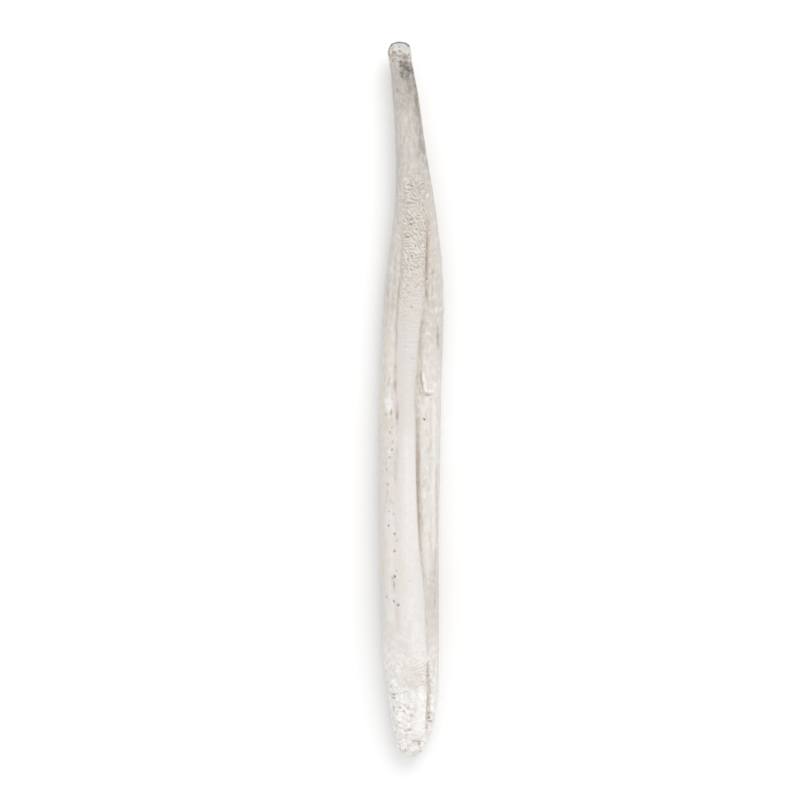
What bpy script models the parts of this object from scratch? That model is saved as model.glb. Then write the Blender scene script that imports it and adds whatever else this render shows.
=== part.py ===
"""Wolf baculum: one bone, lying on the two lips of its urethral groove, crest up.

Frame: +X to the bone's right, +Y from the blunt base to the knobbed tip, +Z up.
The origin is under the middle of the bone, at the height of the surface it lies on.
The bone is one loft. Each feature follows a law, a smooth curve through a few
hand-chosen points of (distance from the base, value), both in millimetres.
"""

import bmesh
import bpy
import numpy as np

MM = 0.001
LENGTH = 130.0
NAME = "baculum"

# Edges of the bone seen from above: sideways places of its left and right side.
LEFT_SIDE = [
    (0, -1.9), (2, -2.7), (5, -3.45), (10, -4.1), (16, -4.95), (20, -5.3), (30, -5.6), (45, -5.9),
    (55, -5.95), (67, -5.8), (74, -5.5), (83, -5.0), (89, -4.45), (96, -3.5), (101, -3.0), (107, -2.9),
    (114, -3.15), (121, -3.65), (125, -3.95), (127, -4.3), (LENGTH, -4.3),
]
RIGHT_SIDE = [
    (0, 1.6), (2, 2.5), (5, 3.6), (10, 4.55), (17, 4.9), (26, 4.9), (40, 4.9), (54, 5.15), (68, 5.35),
    (78, 5.7), (84, 5.75), (90, 5.45), (96, 4.8), (103, 3.8), (110, 2.65), (118, 1.55),
    (121, 1.1), (125, 0.35), (127, -0.05), (LENGTH, -0.1),
]

# Heights of the crest line and of the underside.
CREST_HEIGHT = [
    (0, 4.6), (2, 5.4), (5, 6.4), (10, 7.8), (18, 9.4), (30, 10.3), (45, 10.4), (60, 10.0), (75, 9.3),
    (85, 8.7), (92, 8.3), (100, 7.8), (108, 7.3), (115, 6.9), (122, 6.6), (127, 6.6), (LENGTH, 6.5),
]
UNDERSIDE_HEIGHT = [
    (0, 2.0), (2, 1.3), (5, 0.7), (10, 0.2), (16, -0.15), (45, -0.2), (70, -0.15), (79, 0.25), (87, 0.7),
    (94, 1.3), (101, 1.9), (108, 2.4), (115, 2.7), (122, 2.8), (127, 2.5), (LENGTH, 2.5),
]
# Share of the height at which the bone is widest, and how square a section is above and below
# that level (2 is an ellipse).
WIDEST_SHARE = [(0, 0.5), (12, 0.42), (30, 0.38), (80, 0.4), (100, 0.46), (115, 0.5), (LENGTH, 0.5)]
BACK_SQUARENESS = [(0, 2.2), (15, 2.6), (35, 2.8), (80, 2.7), (98, 2.3), (112, 2.0), (LENGTH, 2.0)]
LIP_SQUARENESS = [(0, 2.2), (14, 3.2), (35, 3.8), (75, 3.6), (98, 2.4), (112, 2.0), (LENGTH, 2.0)]

# The two furrows that run along the back, and the rounded crest that rises between them.
LEFT_FURROW = [
    (0, -1.2), (12, -2.6), (30, -3.05), (40, -2.8), (50, -2.9), (62, -2.6), (70, -2.85), (80, -2.45),
    (92, -2.0), (100, -1.7), (114, -1.9), (LENGTH, -3.2),
]
RIGHT_FURROW = [
    (0, 0.9), (10, 3.1), (17, 3.35), (25, 2.9), (34, 2.3), (46, 1.4), (56, 1.05), (67, 0.95),
    (76, 1.7), (84, 2.5), (96, 2.9), (102, 2.4), (114, 0.9), (LENGTH, -1.2),
]
LEFT_FURROW_DEPTH = [
    (0, 0), (36, 0), (50, 0.12), (60, 0.3), (75, 0.35), (88, 0.3), (98, 0), (LENGTH, 0),
]
RIGHT_FURROW_DEPTH = [
    (0, 0), (9, 0.15), (16, 0.4), (30, 0.5), (45, 0.6), (60, 0.55), (85, 0.45), (97, 0.25), (104, 0),
    (LENGTH, 0),
]
FURROW_HALF_WIDTH = 0.95
CREST_RISE = [
    (0, 0), (8, 0.12), (18, 0.35), (35, 0.5), (55, 0.7), (75, 0.75), (90, 0.45), (104, 0), (LENGTH, 0),
]

# The urethral groove along the underside.
GROOVE_HALF_WIDTH = [
    (0, 0.9), (12, 1.9), (20, 2.2), (40, 2.35), (60, 2.2), (85, 1.8), (100, 1.2), (LENGTH, 1.0),
]
GROOVE_DEPTH = [
    (0, 0), (5, 0.25), (12, 1.8), (20, 3.3), (35, 4.6), (50, 4.8), (65, 4.2), (85, 2.4), (95, 1.2),
    (105, 0.4), (112, 0), (LENGTH, 0),
]

# How round the groove's roof is: 1 is a plain wave, less is flatter.
GROOVE_ROUNDNESS = 0.8

# Lengths of the rounding at the two ends.
BASE_ROUNDING = 1.8
TIP_ROUNDING = 1.3

# The spacing and density of the loft: rings along the bone, and points of a ring between features. A ring's
# points crowd a little towards each feature, which lies at most this share of the half width off the middle.
END_RINGS = 5
RING_SPACING = 1.62
POINTS_BETWEEN = {"side": 7, "crest": 4, "underside": 7, "groove": 4}
CROWDING = 1 / 11
FURTHEST_FEATURE = 0.9


def along(law, distance):
    """The law's value at a distance from the base, on a smooth curve through its points."""
    places, values = np.array(law, float).T
    slopes = np.gradient(values, places)
    i = int(np.clip(np.searchsorted(places, distance) - 1, 0, len(places) - 2))
    span = places[i + 1] - places[i]
    t = (distance - places[i]) / span
    start = values[i] * (1 + 2 * t) * (1 - t) ** 2 + slopes[i] * span * t * (1 - t) ** 2
    finish = values[i + 1] * (3 - 2 * t) * t**2 - slopes[i + 1] * span * (1 - t) * t**2
    return start + finish


def ring_distances():
    """Distances from the base of every ring: close together where the ends round off."""
    turn = np.linspace(0, np.pi / 2, END_RINGS + 1)[1:]
    base = BASE_ROUNDING * (1 - np.cos(turn))
    tip = LENGTH - TIP_ROUNDING * (1 - np.cos(turn))
    count = round((tip[-1] - base[-1]) / RING_SPACING)
    body = np.linspace(base[-1], tip[-1], count + 1)[1:-1]
    return np.concatenate([base, body, tip[::-1]])


def fullness(distance):
    """Size of a section relative to the unrounded bone: under 1 only near the ends."""
    near_base = min(distance / BASE_ROUNDING, 1)
    near_tip = min((LENGTH - distance) / TIP_ROUNDING, 1)
    return np.sqrt((1 - (1 - near_base) ** 2) * (1 - (1 - near_tip) ** 2))


def eased(start, end, steps):
    """Angles from start up to, not including, end, closer together at both."""
    t = np.arange(steps) / steps
    return start + (end - start) * (t - CROWDING * np.sin(2 * np.pi * t))


def ring_angles(middle, half, powers, distance):
    """Angles of the section's points, so that one column of points runs along each feature."""

    def angle_of(place, power):
        share = np.clip((place - middle) / half, -FURTHEST_FEATURE, FURTHEST_FEATURE)
        return np.arccos(np.sign(share) * abs(share) ** (power / 2))

    left, right = along(LEFT_FURROW, distance), along(RIGHT_FURROW, distance)
    groove = along(GROOVE_HALF_WIDTH, distance)
    stops = [0] + [angle_of(place, powers[0]) for place in (right, (left + right) / 2, left)] + [np.pi]
    stops += [2 * np.pi - angle_of(middle + side * groove, powers[1]) for side in (-1, 0, 1)] + [2 * np.pi]
    steps = ["side", "crest", "crest", "side", "underside", "groove", "groove", "underside"]
    spans = zip(stops, stops[1:], steps)
    return np.concatenate([eased(a, b, POINTS_BETWEEN[kind]) for a, b, kind in spans])


def dent(offset, half_width):
    """A rounded dent, 1 at its middle and 0 from half_width out."""
    return 0.5 + 0.5 * np.cos(np.pi * np.clip(abs(offset) / half_width, 0, 1))


def section(distance):
    """The bone's cross-section, as points (x, height)."""
    left, right = along(LEFT_SIDE, distance), along(RIGHT_SIDE, distance)
    middle, half = (left + right) / 2, (right - left) / 2
    powers = along(BACK_SQUARENESS, distance), along(LIP_SQUARENESS, distance)
    rise = along(CREST_RISE, distance)
    top, bottom = along(CREST_HEIGHT, distance) - rise, along(UNDERSIDE_HEIGHT, distance)
    widest = bottom + along(WIDEST_SHARE, distance) * (top - bottom)

    angles = ring_angles(middle, half, powers, distance)
    across, up = np.cos(angles), np.sin(angles)
    power = np.where(up >= 0, *powers)
    x = middle + half * np.sign(across) * abs(across) ** (2 / power)
    arch = abs(up) ** (2 / power)
    z = np.where(up >= 0, widest + (top - widest) * arch, widest - (widest - bottom) * arch)

    furrows = along(LEFT_FURROW, distance), along(RIGHT_FURROW, distance)
    crest_middle, crest_half = sum(furrows) / 2, (furrows[1] - furrows[0]) / 2
    back = rise * np.clip(1 - ((x - crest_middle) / crest_half) ** 2, 0, 1)
    for place, depth in zip(furrows, (LEFT_FURROW_DEPTH, RIGHT_FURROW_DEPTH)):
        back = back - along(depth, distance) * dent(x - place, FURROW_HALF_WIDTH)
    roof = dent(x - middle, along(GROOVE_HALF_WIDTH, distance)) ** GROOVE_ROUNDNESS
    z = z + np.where(up > 0, back, along(GROOVE_DEPTH, distance) * roof)

    size = fullness(distance)
    core = (bottom + top) / 2
    x, z = middle + (x - middle) * size, core + (z - core) * size
    return np.column_stack([x, np.maximum(z, 0)])


def loft():
    """The bone's mesh: a ring of points at each distance, quads between rings, a fan at each end."""
    mesh = bmesh.new()
    rings = []
    for distance in ring_distances():
        points = [(x * MM, distance * MM, z * MM) for x, z in section(distance)]
        rings.append([mesh.verts.new(point) for point in points])
    for ring, following in zip(rings, rings[1:]):
        for i in range(len(ring)):
            mesh.faces.new((ring[i - 1], following[i - 1], following[i], ring[i]))
    for ring, distance in ((rings[0], 0), (rings[-1], LENGTH)):
        x, z = np.mean([(v.co.x, v.co.z) for v in ring], axis=0)
        pole = mesh.verts.new((x, distance * MM, z))
        for i in range(len(ring)):
            mesh.faces.new((ring[i - 1], ring[i], pole))
    bmesh.ops.recalc_face_normals(mesh, faces=mesh.faces)
    return mesh


def centre(mesh):
    """Moves the mesh so that its box stands centred over the origin, with its foot at z = 0."""
    points = np.array([v.co for v in mesh.verts])
    middle = (points.min(axis=0) + points.max(axis=0)) / 2
    bmesh.ops.translate(mesh, verts=mesh.verts, vec=(-middle[0], -middle[1], -points[:, 2].min()))


def bone_material():
    material = bpy.data.materials.new("bone")
    material.use_nodes = True
    shader = material.node_tree.nodes["Principled BSDF"]
    shader.inputs["Base Color"].default_value = (0.72, 0.68, 0.63, 1)
    shader.inputs["Roughness"].default_value = 0.65
    shader.inputs["Metallic"].default_value = 0
    return material


def build_baculum():
    mesh = loft()
    centre(mesh)
    data = bpy.data.meshes.new(NAME)
    mesh.to_mesh(data)
    mesh.free()
    data.materials.append(bone_material())
    data.shade_smooth()
    baculum = bpy.data.objects.new(NAME, data)
    collection = bpy.data.collections.new("wolf_baculum")
    bpy.context.scene.collection.children.link(collection)
    collection.objects.link(baculum)


for startup_object in list(bpy.data.objects):
    bpy.data.objects.remove(startup_object)
build_baculum()
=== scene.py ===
# %% [markdown]
# # A wolf baculum
#
# The real object is one dry, cleaned bone: a grooved body with a rounded crest, a porous blunt base and
# a thin shaft that ends in a knob. It could be one smooth loft with a bone colour, but bone reads as
# bone through its surface: furrows, vessel holes, wormy ridges and stains. So the packed solid gives
# the form, and everything on it is laid on in steps: an even fine mesh, listed landmarks, a Geometry
# Nodes relief, and a finish that reads what the relief left behind.

import bmesh
import bpy
import numpy as np
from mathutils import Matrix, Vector
from mathutils.bvhtree import BVHTree


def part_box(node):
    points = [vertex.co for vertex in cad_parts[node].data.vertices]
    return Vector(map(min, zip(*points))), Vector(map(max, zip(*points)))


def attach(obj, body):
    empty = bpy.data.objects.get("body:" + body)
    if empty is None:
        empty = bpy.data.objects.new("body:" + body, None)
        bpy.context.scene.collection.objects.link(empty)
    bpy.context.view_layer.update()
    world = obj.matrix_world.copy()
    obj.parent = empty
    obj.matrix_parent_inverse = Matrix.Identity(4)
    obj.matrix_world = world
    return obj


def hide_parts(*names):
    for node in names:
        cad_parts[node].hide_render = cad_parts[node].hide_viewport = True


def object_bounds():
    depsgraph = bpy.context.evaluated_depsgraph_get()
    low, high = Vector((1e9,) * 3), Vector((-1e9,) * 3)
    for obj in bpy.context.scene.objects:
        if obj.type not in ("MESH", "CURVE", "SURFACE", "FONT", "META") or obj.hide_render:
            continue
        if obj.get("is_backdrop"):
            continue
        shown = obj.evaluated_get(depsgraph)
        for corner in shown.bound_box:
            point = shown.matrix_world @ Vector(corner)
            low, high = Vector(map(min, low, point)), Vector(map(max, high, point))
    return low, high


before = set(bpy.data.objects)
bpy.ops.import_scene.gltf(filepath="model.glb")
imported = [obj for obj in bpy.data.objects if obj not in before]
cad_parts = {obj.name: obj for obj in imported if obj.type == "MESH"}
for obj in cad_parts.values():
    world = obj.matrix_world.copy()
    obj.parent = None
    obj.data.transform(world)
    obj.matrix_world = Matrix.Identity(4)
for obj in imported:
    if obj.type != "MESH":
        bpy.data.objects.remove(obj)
CAD_BOX = [list(corner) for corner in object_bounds()]
MM = 0.001
LOWEST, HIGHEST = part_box("baculum")
LENGTH = (HIGHEST[1] - LOWEST[1]) / MM
HALF_LENGTH = LENGTH / 2
print("bone of", round(LENGTH, 1), "mm")

# %% [markdown]
# ## Sums on sockets
#
# A relief and a finish are both long sums. Added node by node they are hard to read, so one small
# class wraps a socket and lets a sum be written as Python. The same class serves shader trees and
# Geometry Nodes trees, because both have the Math node. Any other node comes from one method,
# `add`, which sets the node up before it plugs in its values.


# %% The socket class
class Wire:
    """A socket in a node tree. Sums written on it add Math nodes there."""

    def __init__(self, socket):
        self.socket = socket
        self.tree = socket.id_data

    @staticmethod
    def add(tree, kind, settings=None, sockets=None):
        """Adds a node, sets it up, then gives its sockets their values or links."""
        node = tree.nodes.new(kind)
        for name, value in (settings or {}).items():
            setattr(node, name, value)
        for name, value in (sockets or {}).items():
            target = node.inputs[name] if isinstance(name, int) else enabled_socket(node.inputs, name)
            if isinstance(value, Wire):
                tree.links.new(value.socket, target)
            else:
                target.default_value = value
        return node

    @staticmethod
    def out(tree, kind, settings=None, sockets=None, output=0):
        """Adds a node and hands on one of its outputs."""
        return Wire(Wire.add(tree, kind, settings, sockets).outputs[output])

    def math(self, operation, *others, clamp=False):
        settings = {"operation": operation, "use_clamp": clamp}
        return Wire.out(self.tree, "ShaderNodeMath", settings, dict(enumerate((self, *others))))

    def vector_math(self, operation, *others, output=0):
        settings, sockets = {"operation": operation}, dict(enumerate((self, *others)))
        return Wire.out(self.tree, "ShaderNodeVectorMath", settings, sockets, output)

    def __add__(self, other):
        return self.math("ADD", other)

    def __sub__(self, other):
        return self.math("SUBTRACT", other)

    def __rsub__(self, other):
        return (self * -1) + other

    def __mul__(self, other):
        return self.math("MULTIPLY", other)

    def __truediv__(self, other):
        return self.math("DIVIDE", other)

    def __pow__(self, other):
        return self.math("POWER", other)

    __radd__ = __add__
    __rmul__ = __mul__

    def ramp(self, low, high):
        """0 below low, 1 above high, smooth between. low may be above high."""
        settings = {"interpolation_type": "SMOOTHSTEP"}
        return Wire.out(self.tree, "ShaderNodeMapRange", settings, {0: self, 1: low, 2: high})


def enabled_socket(sockets, name):
    return next(s for s in sockets if s.enabled and name in (s.name, s.identifier))


# %% [markdown]
# ## An even mesh
#
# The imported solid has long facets, which would show as flats. Its copy is merged, rounded by a
# Subdivision Surface and then remeshed to even squares, so that a hole or a ridge finds the same
# fineness everywhere. The upper side carries the fine ridges, so its squares are halved once more,
# and halved again where the ridges are finest. That puts the detail where it is seen and keeps the
# piece light. Smoothing after each step takes out the stair marks that remeshing leaves.

# %% Where the squares are finer
SAME_POINT = 0.002 * MM
VOXEL = 0.42 * MM
UPPER_SIDE = 0.32
# (left, right, nearest the base, farthest from it), in millimetres
FINEST_STRETCHES = [
    (-2.6, 3.2, 80, 104), (-1.6, 1.8, 75, 80), (-5, 1, 122.5, 130), (-3.8, 4.2, -1, 13.6),
    (-1.3, 3.1, 13.6, 18.5), (0.8, 4.4, 65, 70), (-5, -3, 61.5, 66),
]


# %% Copy and remesh
def apply_modifiers(obj):
    """Turns what the modifiers make into the object's own plain mesh."""
    graph = bpy.context.evaluated_depsgraph_get()
    data = bpy.data.meshes.new_from_object(obj.evaluated_get(graph))
    obj.modifiers.clear()
    obj.data = data


def merged_copy(source):
    """A new mesh from a node's loose triangles, with its flat faces joined."""
    mesh = bmesh.new()
    mesh.from_mesh(source)
    bmesh.ops.remove_doubles(mesh, verts=mesh.verts, dist=SAME_POINT)
    bmesh.ops.join_triangles(
        mesh, faces=mesh.faces, angle_face_threshold=0.6, angle_shape_threshold=1.2,
        cmp_seam=False, cmp_sharp=False, cmp_uvs=False, cmp_vcols=False, cmp_materials=False,
    )
    data = bpy.data.meshes.new("bone")
    mesh.to_mesh(data)
    mesh.free()
    return data


def even_copy(node):
    copy = bpy.data.objects.new("bone", merged_copy(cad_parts[node].data))
    bpy.context.scene.collection.objects.link(copy)
    rounding = copy.modifiers.new("rounding", "SUBSURF")
    rounding.levels = rounding.render_levels = 2
    remesh = copy.modifiers.new("even squares", "REMESH")
    remesh.mode = "VOXEL"
    remesh.voxel_size = VOXEL
    apply_modifiers(copy)
    return copy


# %% Pick and halve the squares that carry detail
def on_upper_side(middle, normal):
    return normal.z > UPPER_SIDE


def in_finest_stretch(middle, normal):
    side, away = middle.x / MM, middle.y / MM + HALF_LENGTH
    found = (a < side < b and c < away < d for a, b, c, d in FINEST_STRETCHES)
    return normal.z > UPPER_SIDE and any(found)


def refine(obj, wanted, rounds):
    """Halves the squares that wanted(middle, normal) picks, then relaxes the whole mesh."""
    mesh = bmesh.new()
    mesh.from_mesh(obj.data)
    mesh.normal_update()
    picked = [face for face in mesh.faces if wanted(face.calc_center_median(), face.normal)]
    edges = {edge for face in picked for edge in face.edges}
    edges = sorted(edges, key=lambda edge: edge.index)
    bmesh.ops.subdivide_edges(mesh, edges=edges, cuts=1, use_grid_fill=True)
    for _ in range(rounds):
        bmesh.ops.smooth_vert(
            mesh, verts=mesh.verts, factor=0.5, use_axis_x=True, use_axis_y=True, use_axis_z=True
        )
    mesh.to_mesh(obj.data)
    mesh.free()
    print("halved", len(picked), "squares, now", len(obj.data.vertices), "points")


bone = even_copy("baculum")
refine(bone, on_upper_side, 4)
refine(bone, in_finest_stretch, 1)
bone.data.materials.clear()

# %% [markdown]
# ## Where things are
#
# Everything on the bone is placed by two lengths in millimetres: how far to the right of the bone's
# middle line it lies, and how far away from the base end. Every point of the mesh knows both, so a
# shape or a stain is a short sum over the points.

# %% Places on the bone
def read_points():
    """(to the side, away from the base, height, outward normals) of every point, in millimetres."""
    count = len(bone.data.vertices) * 3
    points, normals = np.empty(count), np.empty(count)
    bone.data.vertices.foreach_get("co", points)
    bone.data.vertices.foreach_get("normal", normals)
    x, y, z = points.reshape(-1, 3).T / MM
    return x, y + HALF_LENGTH, z, normals.reshape(-1, 3)


def step(value, low, high):
    """0 below low, 1 above high, smooth between. low may be above high."""
    t = np.clip((value - low) / (high - low), 0, 1)
    return t * t * (3 - 2 * t)


def band(value, start, full_from, full_to, end):
    """1 from full_from to full_to, fading to 0 at start and end."""
    return step(value, start, full_from) * step(value, end, full_to)


def line_at(line, away):
    """How far to the side a line is, at distances from the base."""
    sides, places = np.array(sorted(line, key=lambda point: point[1])).T
    return np.interp(away, places, sides)


# %% Strokes between two places
def gap_to(side, away, start, end):
    """Distance to the straight stroke between two places."""
    start, end = np.array(start, float), np.array(end, float)
    along = end - start
    across, up = side - start[0], away - start[1]
    t = np.clip((across * along[0] + up * along[1]) / max(along @ along, 1e-6), 0, 1)
    return np.hypot(across - t * along[0], up - t * along[1])


def bar(side, away, start, end, radius):
    """A round-topped bar along a stroke: 1 on the stroke, 0 from its radius out."""
    return np.sqrt(np.clip(1 - (gap_to(side, away, start, end) / radius) ** 2, 0, 1))


def smear(side, away, start, end, radius):
    """A soft patch along a stroke: 1 on the stroke, 0 from its radius out."""
    return np.clip(1 - (gap_to(side, away, start, end) / radius) ** 2, 0, 1) ** 2


# %% [markdown]
# ## Landmarks
#
# A few shapes make this bone itself: a raised flake of bone on the right, a smooth thumb-like ridge
# at the base, a white boss on the left and lumps round the knob. Each happens once, so no rule
# makes it, and a sculptor would push it up by hand. Here each push is a bar or a patch, in
# millimetres along the surface's own direction.

# %% The two furrows, as the lines that the crest lies between
RIGHT_FURROW = [
    (2.7, 98.7), (2.9, 96.3), (2.87, 93), (2.75, 89.9), (2.7, 86.6), (2.73, 84.1), (2.47, 82.3),
    (2.23, 80.1), (1.78, 77.6), (1.63, 74.9), (1.41, 71.9), (1.47, 70), (1.14, 68.6), (0.95, 66.8),
    (0.92, 65), (1.1, 59.6), (1.16, 55.1), (1.19, 50.6), (1.34, 46), (1.52, 41.6), (1.74, 37.9),
    (2.07, 34.7), (2.4, 32.2), (2.6, 30.4), (2.78, 26.7), (2.93, 21.7), (3.05, 17.5),
]
LEFT_FURROW = [
    (-1.73, 96.7), (-1.84, 93.9), (-1.91, 90.6), (-2.06, 87.3), (-2.39, 84), (-2.61, 81.2),
    (-2.75, 77.6), (-2.8, 74.9), (-2.9, 71.9), (-3.0, 67.9), (-2.92, 65.3), (-2.68, 63.6),
    (-2.66, 61.4), (-2.75, 58.8), (-2.8, 55.9), (-2.94, 52.4), (-2.9, 48.9),
]

# %% Bars and patches: (rise, radius, start, end), places as (to the side, away from the base)
THUMB = ((1.35, 4.6), (1.9, 12.7))
BARS = [
    (0.2, 1.1, *THUMB), (0.16, 0.45, (2.9, 9), (3.7, 8.9)), (0.3, 0.65, (-0.85, 6.2), (-0.8, 6)),
]
PATCHES = [
    (0.34, 1.7, (1.35, 5.5), (1.85, 11.1)), (0.26, 0.55, (2.0, 69.6), (2.5, 66.5)),
    (0.26, 0.55, (2.6, 66.5), (3.7, 66.4)), (0.12, 2.2, (3.0, 68), (3.2, 69.5)),
    (-0.16, 0.8, (1.5, 69), (1.6, 66)), (-0.2, 0.6, (1.6, 66), (1.7, 64.1)),
    (0.38, 1.0, (-4.3, 64.6), (-4.1, 63.1)), (0.2, 0.7, (-4.1, 55.7), (-4.1, 55.2)),
    (0.14, 0.7, (-3.4, 69), (-3.5, 68.4)), (0.16, 0.6, (4.35, 67.5), (4.35, 67.2)),
    (-0.3, 0.8, (3.05, 14.9), (2.9, 8)), (-0.35, 1.2, (0.6, 2.6), (1.8, 2.6)),
    (0.34, 0.8, (3.6, 9.3), (3.7, 8.6)), (0.25, 0.6, (3.5, 7.8), (3.6, 7.6)),
    (0.25, 0.7, (3.1, 5.7), (3.0, 4.9)), (0.16, 0.6, (2.2, 14.8), (2.5, 14.6)),
    (0.3, 1.1, (-2.6, 7.6), (-1.6, 4.7)), (0.22, 0.9, (-0.6, 2.3), (0.6, 1.9)),
    (0.25, 0.7, (1.6, 1.9), (2.1, 2.1)), (0.25, 0.9, (-3.3, 14.1), (-3.4, 12.6)),
    (0.16, 0.5, (-1.0, 104.5), (-0.5, 100.7)), (0.14, 0.5, (-0.5, 98.7), (0.2, 98.3)),
    (0.26, 0.7, (-4.0, 128), (-3.9, 127.6)), (0.24, 0.5, (-2.3, 127.4), (-1.7, 127.3)),
    (0.34, 0.6, (-3.1, 126.7), (-2.8, 126.5)), (0.26, 0.5, (-1.1, 127.4), (-0.6, 127.6)),
    (0.22, 0.45, (-2.4, 126.4), (-2.2, 126.2)), (-0.2, 0.6, (-1.9, 126.6), (-0.6, 126.4)),
]


def push_landmarks():
    side, away, height, normals = read_points()
    push = sum(rise * bar(side, away, *ends, radius) for rise, radius, *ends in BARS)
    push += sum(rise * smear(side, away, *ends, radius) for rise, radius, *ends in PATCHES)
    push *= step(normals[:, 2], 0.0, 0.4)
    points = np.column_stack([side, away - HALF_LENGTH, height]) + normals * push[:, None]
    bone.data.vertices.foreach_set("co", (points * MM).ravel())
    bone.data.update()
    print("landmarks rise", round(push.max(), 2), "mm and sink", round(-push.min(), 2), "mm")


push_landmarks()

# %% [markdown]
# ## Masks
#
# The surface changes along the bone: wormy ridges near the shaft, fine wrinkles on the middle of the
# crest, spongy pits at the base. Colours do too: bleached stretches, yellow and pink stains, with some
# strokes of painted shade and painted highlight among them.
# Each region is a soft mask, a number from 0 to 1 that every point carries, so that the node trees only
# have to multiply by it. The regions of the surface are sums over the points; the stains are smeared on
# stroke by stroke.

# %% Strokes of colour: (strength, radius, start, end)
STAINS = {
    "bleached_and_highlight": [
        # The first stroke on this line is a painted highlight along the top of the crest.
        (0.7, 0.6, (-0.9, 58.1), (-0.7, 34.4)), (0.6, 1.3, (-4.0, 45), (-3.8, 26)),
        (0.35, 2.6, (-0.7, 58.1), (-0.6, 48.2)), (0.5, 2.6, (-0.6, 48.2), (-0.3, 30.4)),
        (0.7, 2.4, (-0.3, 30.4), (0.5, 18.5)), (1.0, 1.6, *THUMB),
        # The strokes from 69.6 to 66.4 mm here and below are a painted highlight on the raised flake's
        # edges; the one at -4.3 mm below is a painted highlight on the white boss.
        (0.5, 4.0, (-1.5, 12.6), (-0.5, 3.7)), (0.9, 0.6, (2.0, 69.6), (2.5, 66.6)),
        (0.9, 0.55, (2.5, 66.5), (3.8, 66.4)), (1.0, 1.0, (-4.3, 64.6), (-4.1, 63.1)),
        (0.8, 0.6, (-4.1, 55.7), (-4.1, 55.2)), (0.9, 0.5, (-2.75, 60.3), (-2.75, 57.9)),
        (0.9, 0.5, (-3.4, 69), (-3.5, 68.4)), (0.6, 0.45, (4.1, 64.1), (3.95, 38.3)),
        (0.5, 0.7, (2.6, 42.3), (3.0, 33.4)), (0.8, 2.2, (-2.8, 10.6), (-0.4, 2.7)),
        (0.8, 1.5, (3.6, 9.6), (3.2, 4.7)), (0.6, 0.6, (-1.1, 104.7), (-0.5, 100.7)),
        (0.9, 0.5, (-0.2, 98.6), (0.4, 98.1)), (0.8, 0.8, (4.35, 67.5), (4.3, 67)),
        (0.8, 1.0, (-4.5, 20.5), (-4.2, 12.6)),
    ],
    "yellow": [
        (1.0, 0.5, (-4.5, 75.9), (-4.45, 73)), (0.8, 0.45, (-4.65, 71.1), (-4.6, 69.6)),
        (1.0, 0.3, (-5.0, 68), (-5.0, 60.6)), (0.9, 0.5, (-4.45, 61.3), (-4.5, 59.9)),
        (0.6, 0.6, (-4.6, 39.8), (-4.6, 37.5)), (1.0, 0.45, (-5.2, 36.8), (-5.15, 33.6)),
        (0.5, 0.5, (-4.1, 36.5), (-4.1, 35.4)), (0.3, 1.4, (-1.6, 35.4), (-1.2, 30.4)),
        (0.6, 0.4, (-4.6, 17.8), (-4.5, 17)),
    ],
    "pink_and_shade": [
        (1.0, 1.5, (-1.3, 21.1), (-0.7, 18.9)), (1.0, 0.6, (-3.0, 68.9), (-3.05, 66.6)),
        (0.6, 0.6, (-3.3, 33), (-3.2, 30.6)), (0.7, 0.5, (-2.7, 28.4), (-2.3, 23.5)),
        (0.7, 0.45, (3.7, 86.8), (3.9, 83.9)), (0.8, 1.3, (3.5, 97), (3.9, 88)),
        (0.5, 0.9, (-4.3, 84.9), (-4.3, 78.9)), (0.5, 0.8, (-0.3, 25), (-0.6, 22.5)),
        # The first stroke on this line is painted shade down the bone's right side.
        (0.6, 0.5, (4.75, 53.2), (4.8, 40.3)), (0.5, 0.7, (3.4, 13.1), (3.5, 10.6)),
        (0.6, 1.3, (3.9, 34), (4.0, 17)),
    ],
    "olive_and_shade": [
        # Painted shade: the stroke at 4.75 mm on this line, the strokes along the right furrow and the
        # last one, down the shaft's left edge. The spot at 103 mm and those at the base are stains.
        (1.0, 0.5, (4.75, 78.3), (4.8, 74.6)), (0.6, 0.5, (2.0, 103.7), (2.0, 103.1)),
        (0.7, 0.6, (1.4, 69), (1.5, 66)), (0.6, 0.7, (1.1, 65), (1.2, 56.1)),
        (0.8, 0.8, (2.95, 97.7), (2.8, 85.8)), (0.5, 0.6, (2.0, 78.9), (1.5, 71)),
        (0.6, 0.5, (-0.4, 7.4), (-0.35, 6.6)), (0.6, 0.5, (-1.8, 1.6), (-1.4, 1.2)),
        (0.7, 0.5, (-3.7, 125.4), (-3.4, 113.6)),
    ],
    "sooty": [
        (1.0, 1.9, (-1.2, 125.6), (-0.8, 123.5)), (1.0, 1.1, (0.0, 125.6), (0.15, 124.2)),
        (0.9, 1.0, (0.15, 124.2), (0.65, 121.9)), (0.6, 1.4, (-0.6, 124.5), (-0.2, 120.5)),
        (0.75, 0.9, (0.65, 121.9), (1.2, 116.5)), (0.38, 1.3, (-1.6, 123.1), (-1.3, 119)),
        (0.4, 0.8, (1.2, 116.5), (1.9, 109.6)), (0.34, 3.0, (-1.5, 125.4), (-0.8, 118.5)),
    ],
    "ring": [
        (0.8, 0.4, (-1.95, 125.2), (-1.4, 125.3)), (1.0, 0.45, (-1.4, 125.3), (-0.95, 124.9)),
        (1.0, 0.5, (-0.95, 124.9), (-0.45, 124.4)), (0.6, 0.45, (-0.45, 124.4), (-0.75, 123.5)),
        (0.7, 0.4, (-1.9, 124), (-1.65, 123.3)), (0.5, 0.4, (-2.0, 125.9), (-1.9, 125.8)),
    ],
    "cap": [
        (1.0, 1.3, (-2.3, 129.5), (-1.7, 129.2)), (1.0, 1.5, (-1.5, 129.1), (-0.9, 128.8)),
        (0.8, 1.0, (-0.5, 128.9), (-0.4, 128.6)),
    ],
}


def smeared(side, away, strokes):
    """How strongly the strokes cover each point, from 0 to 1."""
    covers = [power * smear(side, away, *ends, radius) for power, radius, *ends in strokes]
    return np.max(covers, axis=0)


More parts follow.
